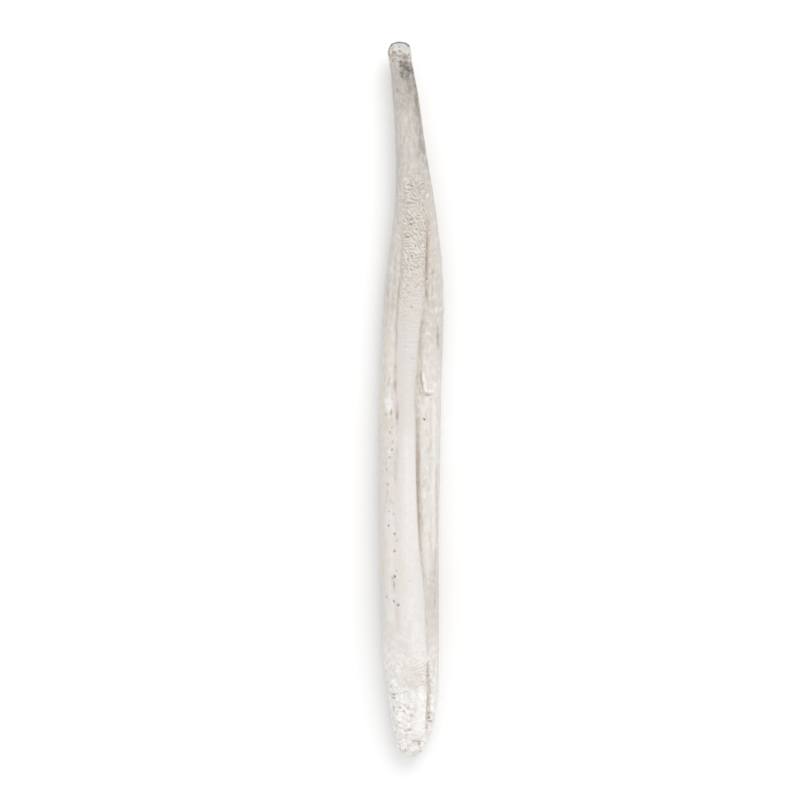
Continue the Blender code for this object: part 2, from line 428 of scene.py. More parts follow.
# %% The regions of the surface
def surface_regions(side, away, upward, left, right):
    """Where each kind of relief lies, between and beside the furrows left and right."""
    crest = band(side, left - 0.1, left + 0.4, right - 0.4, right + 0.1) * upward
    flank = (1 - crest) * band(away, 10, 20, 98, 108)
    foot = (1.6, 8.5)
    thumb = np.maximum(smear(side, away, THUMB[0], foot, 1.7), 0.4 * smear(side, away, *THUMB, 1.4))
    thumb = np.clip(thumb * upward * 2, 0, 1)
    middle = band(side, left + 0.3, -0.8, np.minimum(1.0, right - 0.4), right)
    worm_edge = (upward - crest) * band(away, 94, 98, 106, 110)
    return {
        "worm": crest * step(away, 72, 93) * step(away, 109, 103) + 0.25 * worm_edge,
        "wrinkle": crest * band(away, 52, 68, 80, 90) * middle,
        "arches": band(away, 11.8, 14.2, 15.8, 20) * band(side, -2.2, 0, 2.7, 3.3) * upward,
        "lumpy": flank * (0.35 + 0.65 * band(away, 62, 76, 96, 102)),
        "spongy": step(away, 20, 5) * (1 - 0.95 * thumb),
        "thumb": thumb,
        "knob": step(away, 125.4, 126.6),
        "flesh": flank * (1 - 0.6 * step(side, 0, -1.5) * step(away, 52, 36)),
        "dull_and_shade": dull_and_shade_share(away, step(side, right, right + 0.8), crest),
    }


def dull_and_shade_share(away, right_flank, crest):
    """How grey the surface gets: more towards the shaft, and most on the right flank, where it is
    painted shade.
    """
    towards_shaft = step(away, 66, 94) * (1 - 0.5 * crest) * step(away, 112, 104)
    # On the right flank, near the base and towards the shaft, this is painted shade.
    near_base = right_flank * band(away, 8, 16, 30, 44) * 0.85
    near_shaft = right_flank * band(away, 64, 82, 94, 104) * 0.85
    return np.maximum(towards_shaft, near_base) + near_shaft


# %% The regions of colour alone
# Painted shade over the shaft's right side fades in from 2.6 mm left of this line.
SHAFT_SHADE_EDGE = [(0.9, 118), (2.0, 108), (-1.7, 130)]


def tone_regions(side, away, height, normals):
    """Where the colour changes without any change in the relief, painted shade on the shaft's right
    side and on the cap's rim included.
    """
    shaft_shade_side = line_at(SHAFT_SHADE_EDGE, away) - 2.6
    # The cap's rim, where the surface turns sideways towards the tip and away from the light, gets
    # painted shade.
    rim = band(normals[:, 2], -0.3, 0.25, 0.58, 0.76) * step(normals[:, 1], 0.1, 0.45)
    below = step(normals[:, 2], -0.1, -0.5)
    return {
        "shaft": step(away, 92, 110),
        # painted shade over the right side of the shaft
        "shaft_shade": step(away, 98, 112) * step(side, shaft_shade_side, 3.0),
        "cap_rim_shade": rim * step(away, 128.0, 128.7),
        "cap_end": step(normals[:, 1], 0.5, 0.8),
        "chalky": step(away, 29, 9),
        "underneath": step(normals[:, 2], 0.1, -0.5),
        "groove": below * step(height, 0.4, 1.6) * band(away, 14, 24, 92, 104),
    }


# %% Paint the masks
def paint_masks():
    side, away, height, normals = read_points()
    upward = step(normals[:, 2], 0.1, 0.5)
    left, right = line_at(LEFT_FURROW, away), line_at(RIGHT_FURROW, away)
    masks = surface_regions(side, away, upward, left, right)
    masks.update(tone_regions(side, away, height, normals))
    masks.update({name: smeared(side, away, strokes) * upward for name, strokes in STAINS.items()})
    for name, mask in masks.items():
        attribute = bone.data.attributes.new(name, "FLOAT", "POINT")
        attribute.data.foreach_set("value", np.clip(mask, 0, 1).astype(np.float32))
    print("masks:", ", ".join(masks))


paint_masks()

# %% [markdown]
# ## Lines and holes to press in
#
# Furrows, cracks and vessel holes have places of their own. Each line is a string of points on the bone
# that carries how far its dent reaches, how deep it goes and how rusty the colour painted into it is:
# low rust gives a greyer painted shade, high rust a rustier brown dirt. Each hole is a single point
# that does the same. The relief tree later looks up the nearest of them from every point of the bone. A
# vessel hole is about half a millimetre wide. The furrows are wide and soft: two lines lie in each, a
# broad one for the trough and a thin one for its bottom.

# %% Troughs: (reach, rise, rust), lengths in millimetres, then the places they run through
TROUGHS = [
    (0.8, -0.12, 0.4, RIGHT_FURROW),
    (0.7, -0.09, 0.6, LEFT_FURROW),
    # This trough paints the shadow along the thumb's right side into a shallow dent.
    (0.62, -0.2, 0.8, [(3.05, 18.5), (2.98, 16), (3.1, 14.1), (3.0, 10.9), (2.9, 8), (2.6, 5.3)]),
    # This trough paints shade along the right edge of the flank into a shallow dent.
    (0.6, -0.1, 0.6, [(4.5, 53.2), (4.6, 46.2), (4.6, 40.3), (4.3, 34.4), (4.2, 27.4)]),
    (0.5, -0.08, 0.5, [(3.4, 64.1), (3.5, 58.1), (3.3, 50.2)]),
    (0.6, -0.1, 0.4, [(-2.9, 91.8), (-3.2, 85.8), (-3.6, 79.9)]),
    (0.5, -0.1, 0.6, [(-4.1, 86.8), (-4.5, 80.9)]),
    (0.5, -0.1, 0.6, [(3.9, 88.8), (3.7, 84.9), (4.1, 80.9)]),
]

# %% Lines, told in the same way
LINES = [
    (0.52, -0.2, 0.35, [
        (1.0, 66), (1.12, 58.1), (1.16, 55.1), (1.19, 50.6), (1.34, 46), (1.52, 41.6), (1.8, 37.3),
        (2.5, 30.9),
    ]),
    (0.34, -0.18, 0.3, [(2.95, 97.2), (2.9, 92.8), (2.75, 89.8), (2.72, 86.6), (2.72, 84.9)]),
    (0.28, -0.24, 0.8, [(2.68, 85.4), (2.76, 84.3), (2.62, 82.9)]),
    (0.3, -0.1, 0.4, [(2.6, 82.9), (2.23, 80.1), (1.8, 77.6), (1.65, 75), (1.42, 72), (1.45, 70.2)]),
    (0.24, -0.12, 0.6, [
        (-1.9, 91.8), (-2.1, 87.3), (-2.4, 83.9), (-2.65, 80.9), (-2.8, 75.9), (-2.9, 72), (-2.95, 69),
    ]),
    (0.42, -0.16, 0.6, [(-2.9, 71.8), (-2.92, 70.6), (-2.98, 69.2)]),
    (0.42, -0.1, 0.45, [(-3.0, 68.7), (-3.05, 66.7)]),
    (0.35, -0.2, 0.6, [(-2.65, 63.5), (-2.66, 62.1), (-2.7, 60.9)]),
    (0.35, -0.12, 0.5, [(1.5, 70.5), (1.75, 68.2), (2.05, 66.6), (2.15, 66)]),
    # A shallow dent painted dark as the shadow under the raised flake's lower edge.
    (0.35, -0.18, 0.7, [(2.1, 65.9), (3.0, 65.8), (3.9, 65.9)]),
    (0.2, -0.16, 1.0, [(-1.85, 94.3), (-1.0, 94.2), (-0.1, 94.3), (0.9, 94.8)]),
    (0.22, -0.12, 0.4, [(-0.4, 72.7), (0.5, 72.3), (1.05, 72.3)]),
    (0.25, -0.16, 0.8, [(0.5, 85.1), (1.1, 85.6), (1.8, 86.1)]),
    (0.22, -0.18, 0.4, [(-0.4, 81.9), (0.0, 81.7), (0.4, 81.5)]),
    (0.25, 0.14, 0.0, [(-0.35, 89.3), (0.1, 89.7), (0.5, 89.4), (0.9, 89), (1.25, 88.5)]),
    (0.25, 0.12, 0.0, [(0.3, 94.8), (0.6, 95.1), (1.2, 94.9), (1.3, 94.3), (0.8, 93.9), (0.4, 94.2)]),
    (0.2, -0.16, 0.5, [(-0.5, 88.7), (-0.2, 88.2), (0.4, 88.4)]),
    (0.2, -0.16, 0.5, [(0.6, 89.9), (1.1, 89.7), (1.5, 89.1)]),
    (0.22, -0.2, 0.7, [(-0.3, 98.6), (0.1, 98.6), (0.35, 98.5)]),
    (0.3, -0.3, 1.0, [(-0.55, 97.4), (-0.1, 97.3), (0.35, 97.5)]),
    (0.3, -0.26, 0.9, [(-0.6, 96.7), (-0.1, 96.5), (0.3, 96.6)]),
    (0.26, 0.12, 0.0, [(-0.4, 98), (-0.1, 97.8), (0.3, 97.9), (0.45, 98.3)]),
    (0.25, -0.1, 0.5, [(0.5, 105.9), (1.5, 105.7), (2.3, 106)]),
    (0.25, -0.14, 0.4, [(-0.8, 103.6), (-0.4, 103.8)]),
    (0.25, -0.14, 0.4, [(-0.9, 102.7), (-0.3, 102.9)]),
    (0.35, -0.22, 0.7, [(-3.5, 63.7), (-3.65, 62.7), (-3.8, 61.9)]),
    (0.28, -0.2, 0.5, [(-3.45, 57.9), (-3.5, 56.9)]),
    (0.25, -0.18, 0.6, [(-4.55, 53), (-4.5, 52.1)]),
    (0.22, -0.14, 0.8, [(-4.35, 48.8), (-4.3, 47.4)]),
    (0.3, -0.18, 0.9, [(-3.15, 32.8), (-3.2, 30.8)]),
    # A shallow dent painted dark as the shadow under the thumb's rounded end.
    (0.3, -0.2, 0.6, [(0.5, 3.3), (1.1, 3.1), (1.8, 3.3)]),
    (0.26, -0.34, 1.0, [(-3.6, 12), (-3.2, 11.9), (-2.8, 12)]),
    (0.26, -0.34, 1.0, [(-3.5, 11.3), (-3.2, 11.2), (-2.8, 11.3)]),
    # A shallow slot painted dark as soft shade on the right edge.
    (0.5, -0.1, 0.3, [(4.6, 77.9), (4.8, 75.9), (4.7, 74.4)]),
    (0.25, 0.08, 0.0, [(4.2, 65), (4.12, 60.1), (4.05, 50.2), (4.05, 44.3), (4.35, 37.3)]),
    (0.28, 0.1, 0.0, [(3.3, 73.9), (3.7, 74.3), (4.2, 74.2), (4.6, 73.4)]),
    (0.28, 0.1, 0.0, [(2.25, 97.9), (2.7, 98.6), (3.4, 98.6), (3.95, 97.6)]),
    (0.2, -0.1, 0.5, [(1.2, 36.9), (1.25, 36.1)]),
    (0.5, -0.14, 0.6, [(0.7, 120.5), (1.0, 118.5), (1.3, 116.1)]),
]

# %% Holes: (to the side, away from the base, reach, rise, rust) in millimetres
DOTS = [
    (2.33, 61.5, 0.32, -0.34, 0.4), (-3.58, 60, 0.24, -0.2, 0.1), (-4.0, 59.2, 0.24, -0.2, 0.5),
    (-3.5, 56.1, 0.26, -0.22, 0.1), (-3.9, 54.6, 0.26, -0.2, 0.7), (-4.35, 49.8, 0.28, -0.24, 0.3),
    (-4.1, 45, 0.3, -0.2, 0.8), (-3.25, 44.6, 0.22, -0.16, 0.3), (-4.2, 42.5, 0.3, -0.26, 0.7),
    (-3.05, 41, 0.3, -0.28, 0.4), (-2.65, 39.8, 0.26, -0.16, 0.8), (-3.15, 37.9, 0.3, -0.32, 0.7),
    (-2.7, 34.4, 0.26, -0.16, 0.4), (-3.0, 33.4, 0.32, -0.36, 0.5), (-3.5, 33, 0.24, -0.2, 0.3),
    (-4.5, 29.6, 0.3, -0.26, 0.6), (-3.2, 28.9, 0.32, -0.3, 0.6), (-2.45, 28.3, 0.3, -0.28, 0.0),
    (-4.5, 17.5, 0.3, -0.2, 0.7), (-4.55, 16, 0.36, -0.22, 0.1), (-3.7, 13.4, 0.3, -0.24, 0.4),
    (-0.6, 9.4, 0.34, -0.12, 0.7), (0.0, 8.2, 0.4, -0.14, 0.8), (-0.4, 7, 0.34, -0.1, 0.9),
    (-0.3, 5.5, 0.44, -0.16, 0.9), (-3.2, 9.4, 0.36, -0.18, 0.8), (-2.55, 8.8, 0.3, -0.18, 0.8),
    (-2.1, 9.6, 0.34, -0.2, 0.7), (-1.4, 8.9, 0.34, -0.2, 0.8), (3.65, 54.5, 0.2, -0.12, 0.3),
    (-0.35, 32.6, 0.22, -0.12, 0.2), (0.0, 90.9, 0.25, -0.2, 0.2), (0.8, 89.5, 0.22, -0.16, 0.6),
    (3.95, 87.9, 0.3, -0.16, 0.5), (2.8, 86.8, 0.25, -0.2, 0.1), (-2.65, 120.8, 0.4, -0.18, 0.5),
    (-0.05, 103.4, 0.25, -0.14, 0.4), (3.2, 7.6, 0.36, -0.26, 0.8), (3.6, 6.9, 0.34, -0.3, 0.5),
    (3.25, 6.9, 0.34, -0.24, 0.7), (2.95, 5.7, 0.5, -0.16, 0.8), (-2.1, 2.6, 0.34, -0.14, 0.3),
    (-1.1, 1.5, 0.34, -0.12, 0.4), (1.4, 2.7, 0.45, -0.18, 0.7), (1.6, 2, 0.4, -0.14, 0.6),
    (0.4, 3.3, 0.4, -0.12, 0.8), (-0.6, 2.4, 0.4, -0.1, 0.6), (-1.0, 3.9, 0.35, -0.1, 0.8),
    (-2.2, 6.7, 0.35, -0.1, 0.8), (-2.8, 4.9, 0.35, -0.1, 0.6), (-4.2, 64.3, 0.2, -0.14, 0.0),
    (-4.55, 62.4, 0.3, -0.2, 0.9), (4.35, 67.3, 0.24, -0.14, 0.1), (-3.35, 127.8, 0.4, -0.24, 0.3),
    (-2.9, 127.7, 0.34, -0.16, 0.3), (-2.15, 127.95, 0.3, -0.24, 0.4),
    (-2.2, 128.7, 0.32, -0.14, 0.5), (-3.45, 126.3, 0.3, -0.18, 0.6), (-1.9, 126, 0.3, -0.24, 0.3),
    (-1.4, 126.7, 0.5, -0.12, 0.3), (-0.6, 126.7, 0.4, -0.14, 0.2),
]

# %% Find their places on the surface
ABOVE_THE_BONE = 30 * MM
surface = BVHTree.FromPolygons(
    [v.co for v in bone.data.vertices], [list(p.vertices) for p in bone.data.polygons]
)


def on_bone(side, away):
    """The point of the upper surface at a distance to the side and away from the base."""
    above = Vector((side * MM, (away - HALF_LENGTH) * MM, ABOVE_THE_BONE))
    hit = surface.ray_cast(above, Vector((0, 0, -1)))[0]
    if hit is None:
        raise ValueError(f"no bone at {side}, {away}")
    return hit


def spread_along(places, gap=0.12, easing=6):
    """Points every gap millimetres along a line through the places, with its corners eased."""
    sides, aways = np.array(places, float).T
    lengths = np.concatenate([[0], np.cumsum(np.hypot(np.diff(sides), np.diff(aways)))])
    at = np.linspace(0, lengths[-1], max(int(lengths[-1] / gap), 3))
    sides, aways = np.interp(at, lengths, sides), np.interp(at, lengths, aways)
    for _ in range(easing):
        sides[1:-1] = (sides[:-2] + sides[2:]) / 2
        aways[1:-1] = (aways[:-2] + aways[2:]) / 2
    return sides, aways


# %% Turn them into guides
def make_guide(name, strings):
    """A mesh of strings of points on the bone. Each string is (sides, aways, reaches, rises, rust)."""
    mesh = bmesh.new()
    layers = [mesh.verts.layers.float.new(layer) for layer in ("reach", "rise", "rust")]
    for sides, aways, reaches, rises, rust in strings:
        previous = None
        for side, away, reach, rise in zip(sides, aways, reaches, rises):
            point = mesh.verts.new(on_bone(side, away))
            for layer, value in zip(layers, (reach * MM, rise * MM, rust)):
                point[layer] = value
            if previous:
                mesh.edges.new((previous, point))
            previous = point
    data = bpy.data.meshes.new(name)
    mesh.to_mesh(data)
    mesh.free()
    guide = bpy.data.objects.new(name, data)
    bpy.context.scene.collection.objects.link(guide)
    return guide


def strings_of(lines, fade):
    """Strings along the lines, each tapering over a share of its length at both ends."""
    for reach, rise, rust, places in lines:
        sides, aways = spread_along(places)
        share = np.linspace(0, 1, len(sides))
        taper = band(share, -0.02, fade, 1 - fade, 1.02)
        yield sides, aways, reach * (0.4 + 0.6 * taper), rise * taper, rust


TROUGH_FADE, LINE_FADE = 0.06, 0.4
HOLES = (([side], [away], [reach], [rise], rust) for side, away, reach, rise, rust in DOTS)
GUIDES = {
    "Troughs": make_guide("trough_guide", strings_of(TROUGHS, TROUGH_FADE)),
    "Lines": make_guide("line_guide", strings_of(LINES, LINE_FADE)),
    "Dots": make_guide("dot_guide", HOLES),
}
print("guides:", len(TROUGHS), "troughs,", len(LINES), "lines and", len(DOTS), "dots")

# %% [markdown]
# ## The relief
#
# What repeats over a surface, or follows a line on it, is Geometry Nodes' work: one tree moves every
# point along its own normal by the sum of all the relief. It takes the guides and a height for each
# kind of relief as named inputs. It leaves behind how hollow each point is, which the finish paints
# darker as brown dirt and painted shade, and where the worm ridges top out, which the finish paints
# with a highlight.


# %% A group with named inputs
def new_group(name, inputs):
    """An empty geometry group, its inputs by name."""
    group = bpy.data.node_groups.new(name, "GeometryNodeTree")
    group.interface.new_socket("Geometry", in_out="OUTPUT", socket_type="NodeSocketGeometry")
    group.interface.new_socket("Geometry", in_out="INPUT", socket_type="NodeSocketGeometry")
    for label, kind in inputs:
        group.interface.new_socket(label, in_out="INPUT", socket_type=kind)
    entry = group.nodes.new("NodeGroupInput")
    return group, {socket.name: Wire(socket) for socket in entry.outputs if socket.name}


def mask_of(tree, name):
    node = Wire.add(tree, "GeometryNodeInputNamedAttribute", {"data_type": "FLOAT"}, {"Name": name})
    return Wire(enabled_socket(node.outputs, "Attribute"))


def stretched(place, x, y, z):
    """The place, scaled along each axis."""
    return place.vector_math("MULTIPLY", (x, y, z))


# %% Patterns, read at places in millimetres
def noise(place, scale, detail=2.0, rough=0.5, warp=0.0, seed=0.0):
    """A cloudy pattern from 0 to 1."""
    settings = {"noise_dimensions": "4D"}
    sockets = {
        "Vector": place, "W": seed, "Scale": scale,
        "Detail": detail, "Roughness": rough, "Distortion": warp,
    }
    return Wire.out(place.tree, "ShaderNodeTexNoise", settings, sockets)


def waves(distance, spacing, place, wander, scale, seed):
    """Rounded ridges, spacing millimetres apart along a distance, that wander, fork and close."""
    drift = noise(place, scale, 1.0, 0.5, 0.3, seed) * wander
    turns = (distance / spacing + drift) * (2 * np.pi)
    return turns.math("SINE") * 0.5 + 0.5


def pits(place, scale, size, seed):
    """Round pits scattered at random: 1 at a pit's middle, 0 from its rim out."""
    settings = {"voronoi_dimensions": "4D", "feature": "F1"}
    sockets = {"Vector": place, "W": seed, "Scale": scale, "Randomness": 1.0}
    distance = Wire.out(place.tree, "ShaderNodeTexVoronoi", settings, sockets, "Distance")
    return distance.ramp(size, size * 0.3)


def shifted(position, place, amount, scale=1.6):
    """The position moved a little at random, so that what is looked up from it turns out uneven."""
    settings, sockets = {"noise_dimensions": "3D"}, {"Vector": place, "Scale": scale, "Detail": 2.0}
    cloud = Wire.out(position.tree, "ShaderNodeTexNoise", settings, sockets, "Color")
    centred = cloud.vector_math("SUBTRACT", (0.5,) * 3)
    return centred.vector_math("MULTIPLY_ADD", (amount,) * 3, position)


# %% Press a guide into the surface
def pressed(tree, guide, target, position):
    """What a guide does at each point: (rise, how near its middle from 0 to 1, rust)."""
    settings = {"transform_space": "ORIGINAL"}
    shape = Wire.out(tree, "GeometryNodeObjectInfo", settings, {"Object": guide}, "Geometry")
    sockets = {0: shape, "Sample Position": position}
    distance = Wire.out(tree, "GeometryNodeProximity", {"target_element": target}, sockets, "Distance")
    nearest = Wire.out(tree, "GeometryNodeSampleNearest", {"domain": "POINT"}, {0: shape, 1: position})
    found = []
    for name in ("reach", "rise", "rust"):
        settings = {"data_type": "FLOAT", "domain": "POINT"}
        sockets = {"Geometry": shape, "Value": mask_of(tree, name), "Index": nearest}
        sample = Wire.add(tree, "GeometryNodeSampleIndex", settings, sockets)
        found.append(Wire(enabled_socket(sample.outputs, "Value")))
    reach, rise, rust = found
    nearness = (1 - distance / reach).math("MAXIMUM", 0.0)
    return rise, nearness, rust


# %% Ridges: worm tracks near the shaft, wrinkles lower down, arches at the base
WORM_SPACING, SLANTED_SPACING = 0.7, 0.66
WRINKLE_SPACING = 0.7
ARCH_SPACING = 0.6
ARCHES_MIDDLE = (1.9, 12.7 - HALF_LENGTH, 0.0)


def worm_tracks(place, side, away, seed):
    """(ridges that wander and break off, pits between them)."""
    level = waves(away, WORM_SPACING, place, 3.0, 0.7, seed)
    slanted = waves(away * 0.5 + side * 0.85, SLANTED_SPACING, place, 2.6, 0.75, seed + 2)
    chosen = noise(place, 0.5, 1.0, 0.5, 0.0, seed + 4).ramp(0.42, 0.58)
    ridges = (level + (slanted - level) * chosen) ** 0.85
    breaks = 0.3 + 0.7 * noise(place, 1.3, 2.0, 0.5, 0.0, seed + 1).ramp(0.34, 0.5)
    return ridges * breaks, pits(place, 1.1, 0.3, seed + 15)


def broken_up(ridges, place, scale, seed, low, high):
    """Ridges that flatten out in patches."""
    return 0.5 + (ridges - 0.5) * noise(place, scale, 1.0, 0.5, 0.0, seed).ramp(low, high)


def wrinkles(place, away, seed):
    ridges = waves(away, WRINKLE_SPACING, stretched(place, 1, 0.7, 1), 2.4, 0.6, seed + 3)
    return broken_up(ridges, place, 0.6, seed + 6, 0.45, 0.62)


def arched_ridges(place, seed):
    from_middle = stretched(place.vector_math("SUBTRACT", ARCHES_MIDDLE), 1.1, 1, 0)
    radius = from_middle.vector_math("LENGTH", output="Value")
    ridges = waves(radius, ARCH_SPACING, place, 1.9, 0.6, seed + 5)
    return broken_up(ridges, place, 0.8, seed + 14, 0.28, 0.48)


# %% Keep what the finish needs, and hand the surface on
def stored(flow, values):
    """The geometry with each value, from 0 to 1, kept at its points under its name."""
    for name, value in values.items():
        sockets = {"Geometry": flow, "Name": name, "Value": value.math("ADD", 0.0, clamp=True)}
        settings = {"data_type": "FLOAT", "domain": "POINT"}
        flow = Wire.out(flow.tree, "GeometryNodeStoreNamedAttribute", settings, sockets)
    return flow


def finished(flow, position, height, material):
    """The geometry pushed out by the height, kept above the floor, realised and given its material."""
    tree = flow.tree
    normal = Wire.out(tree, "GeometryNodeInputNormal")
    push = Wire.out(tree, "ShaderNodeVectorMath", {"operation": "SCALE"}, {0: normal, "Scale": height})
    above_floor = position.vector_math("ADD", push).vector_math("MAXIMUM", (-1.0, -1.0, 0.0))
    flow = Wire.out(tree, "GeometryNodeSetPosition", {}, {"Geometry": flow, "Position": above_floor})
    flow = Wire.out(tree, "GeometryNodeRealizeInstances", {}, {"Geometry": flow})
    flow = Wire.out(tree, "GeometryNodeSetMaterial", {}, {"Geometry": flow, "Material": material})
    Wire.add(tree, "NodeGroupOutput", {}, {0: flow})


# %% Build the tree
DEEPEST = 0.3 * MM
UNEVEN_HOLES = 0.42 * MM
WAVY_LINES = 0.15 * MM
HEIGHTS = ("Worm height", "Wrinkle height", "Lump height", "Sponge depth", "Grain height", "Seed")


def relief_group():
    inputs = [(name, "NodeSocketObject") for name in GUIDES]
    inputs += [(name, "NodeSocketFloat") for name in HEIGHTS]
    tree, given = new_group("bone_relief", [*inputs, ("Material", "NodeSocketMaterial")])
    position = Wire.out(tree, "GeometryNodeInputPosition")
    place = stretched(position, 1 / MM, 1 / MM, 1 / MM)
    parts = Wire.add(tree, "ShaderNodeSeparateXYZ", {}, {0: place}).outputs
    side, away, seed = Wire(parts["X"]), Wire(parts["Y"]), given["Seed"]

    uneven, wavy = shifted(position, place, UNEVEN_HOLES), shifted(position, place, WAVY_LINES)
    trough_rise, trough_near, trough_rust = pressed(tree, given["Troughs"], "EDGES", wavy)
    line_rise, line_near, line_rust = pressed(tree, given["Lines"], "EDGES", wavy)
    dot_rise, dot_near, dot_rust = pressed(tree, given["Dots"], "POINTS", uneven)

    tracks, track_pits = worm_tracks(place, side, away, seed)
    wrinkle, arches = wrinkles(place, away, seed), arched_ridges(place, seed)
    lumps = noise(place, 0.75, 2.0, 0.5, 0.3, seed + 7) - 0.5
    knobs = noise(place, 1.5, 2.0, 0.6, 0.3, seed + 8) - 0.5
    grain = noise(stretched(place, 2.0, 0.18, 2.0), 1.0, 3.0, 0.6, 0.0, seed + 9) - 0.5
    cells = pits(shifted(place, place, 0.5), 1.3, 0.42, seed + 11)
    cells = cells * noise(place, 0.55, 1.0, 0.5, 0.0, seed + 13).ramp(0.45, 0.65)

    worm, sponge = mask_of(tree, "worm"), mask_of(tree, "spongy")
    wrinkled, arched = mask_of(tree, "wrinkle"), mask_of(tree, "arches")
    rugged = sponge + mask_of(tree, "knob") * (1 - mask_of(tree, "cap") * 0.8)
    height = trough_rise * trough_near.ramp(0.0, 1.0)
    height = height + line_rise * line_near**1.3 + dot_rise * dot_near.ramp(0.0, 0.75)
    height = height + (tracks - 0.5 - 0.6 * track_pits) * worm * given["Worm height"]
    height = height + (wrinkle - 0.5) * wrinkled * given["Wrinkle height"]
    height = height + (arches - 0.5) * arched * given["Wrinkle height"] * 2.0
    height = height + lumps * (mask_of(tree, "lumpy") + 0.3) * given["Lump height"]
    height = height + knobs * rugged * given["Lump height"] * 1.3
    height = height + grain * given["Grain height"]
    height = height - cells * sponge * given["Sponge depth"]

    surface_marks = {
        "trough_hollow": trough_rise / -DEEPEST * trough_near.ramp(0.0, 0.9),
        "trough_rust": trough_rust,
        "line_hollow": line_rise / -DEEPEST * line_near.ramp(0.1, 0.9),
        "line_rust": line_rust,
        "dot_hollow": dot_rise / -DEEPEST * dot_near.ramp(0.1, 0.7),
        "dot_rust": dot_rust,
        "worm_hollow": (1 - tracks + 0.5 * track_pits) * worm,
        "wrinkle_hollow": (1 - wrinkle) * wrinkled + (1 - arches) * arched,
        "cell_hollow": cells * sponge,
        # the worm ridges' tops, which the finish paints with a highlight
        "worm_ridge": tracks * worm,
        # the low ground between lumps, which the finish paints darker with shade and brown dirt
        "low_ground": (0.5 - knobs) * rugged,
    }
    finished(stored(given["Geometry"], surface_marks), position, height, given["Material"])
    return tree


# %% [markdown]
# ## The finish
#
# Dry bone is matt and nearly white, but never one colour: the flanks are a little pinker than the
# crest, the shaft is greyer, and the hollows are darker, partly with brown dirt and partly with painted
# shade. Painted shade also lies along the right side and a few edges, and painted highlights on the
# ridge tops and a few raised edges. A painted picture could hold that, but it would fit this one mesh
# only. Here layers of colour are mixed by the masks and hollows that the bone carries, broken up by
# noise at several sizes.


# %% Colours, as seen on a screen
def paint(red, green, blue):
    """A colour given from 0 to 255, as a screen takes it, turned into the shader's steps of light."""
    screen = np.array([red, green, blue]) / 255
    linear = np.where(screen <= 0.04045, screen / 12.92, ((screen + 0.055) / 1.055) ** 2.4)
    return (*linear, 1.0)


IVORY = paint(218, 211, 206)
COOL_IVORY = paint(213, 211, 208)
# bleached bone, also used for painted highlights
BLEACHED_AND_HIGHLIGHT = paint(228, 225, 223)
FLESH = paint(211, 205, 198)
FLESH_BROWN = paint(190, 178, 167)
# pale streaks on the flanks and shaft, and the painted highlight on the worm ridges
PALE_STREAK_AND_HIGHLIGHT = paint(226, 221, 216)
# grey tone, and painted shade on the right flank
DULL_AND_SHADE = paint(192, 188, 180)
SHAFT_GREY = paint(192, 188, 182)
SHAFT_BROWN = paint(179, 171, 163)
SHAFT_BLUE = paint(182, 182, 180)
# painted shade on the shaft's right side
SHAFT_SHADE = paint(126, 114, 100)
SOOT = paint(102, 97, 87)
CAP_GREEN = paint(182, 187, 183)
KNOB_CREAM = paint(212, 206, 199)
# painted shade with brown dirt between the knob's lumps
KNOB_SHADE_BROWN = paint(166, 155, 143)
# painted shade for the cap's rim
CAP_RIM_SHADE = paint(96, 108, 112)
RING_STAIN = paint(96, 92, 82)
YELLOW_STAIN = paint(212, 203, 176)
# pink stains, and painted shade down the bone's right side
PINK_STAIN_AND_SHADE = paint(200, 180, 173)
# olive stains, and painted shade along the right furrow and two edges
OLIVE_STAIN_AND_SHADE = paint(166, 154, 138)
# crease colour: painted shade in hollows, with brown dirt
CREVICE_SHADE_AND_DIRT = paint(160, 143, 120)
# painted shade with brown dirt in the base's pits and low ground
SPONGE_SHADE_AND_DIRT = paint(184, 162, 134)
# painted shade with dirt, for the bottoms of lines and holes
GREY_SHADE_AND_DIRT = paint(112, 102, 90)
RUST_DIRT = paint(174, 132, 82)
SPECK = paint(152, 136, 122)
CHALK = paint(240, 238, 234)


# %% Layers of colour
def mixed(tree, share, below, above):
    """Colour above laid over colour below by its share."""
    settings = {"data_type": "RGBA", "clamp_factor": True}
    node = Wire.add(tree, "ShaderNodeMix", settings, {"Factor": share, "A": below, "B": above})
    return Wire(enabled_socket(node.outputs, "Result"))


class Skin:
    """Colours laid one over another in a shader tree, and the patterns that break them up."""

    def __init__(self, tree):
        self.tree = tree
        place = Wire.out(tree, "ShaderNodeTexCoord", output="Object")
        place = stretched(place, 1 / MM, 1 / MM, 1 / MM)
        self.blotches = noise(stretched(place, 1, 0.6, 1), 0.9, 4.0, 0.65, 0.3, 2.0)
        self.fine = noise(place, 3.0, 3.0, 0.6, 0.0, 3.0)
        self.streaks = noise(stretched(place, 1.6, 0.6, 1.6), 1.0, 5.0, 0.7, 0.4, 4.0)
        self.pale_streaks = noise(stretched(place, 1.9, 0.7, 1.9), 1.0, 4.0, 0.65, 0.4, 5.0)
        self.grit = noise(place, 1.6, 3.0, 0.65, 0.2, 6.0)
        self.specks = pits(place, 1.5, 0.2, 7.0) * noise(place, 0.7, 1.0, 0.5, 0.0, 8.0).ramp(0.5, 0.62)
        clouds = noise(place, 0.25, 3.0, 0.6, 0.4, 1.0)
        self.colour = mixed(tree, clouds.ramp(0.35, 0.65), IVORY, COOL_IVORY)

    def lay(self, share, colour):
        self.colour = mixed(self.tree, share, self.colour, colour)

    def mask(self, name):
        settings = {"attribute_type": "GEOMETRY", "attribute_name": name}
        return Wire.out(self.tree, "ShaderNodeAttribute", settings, output="Fac")


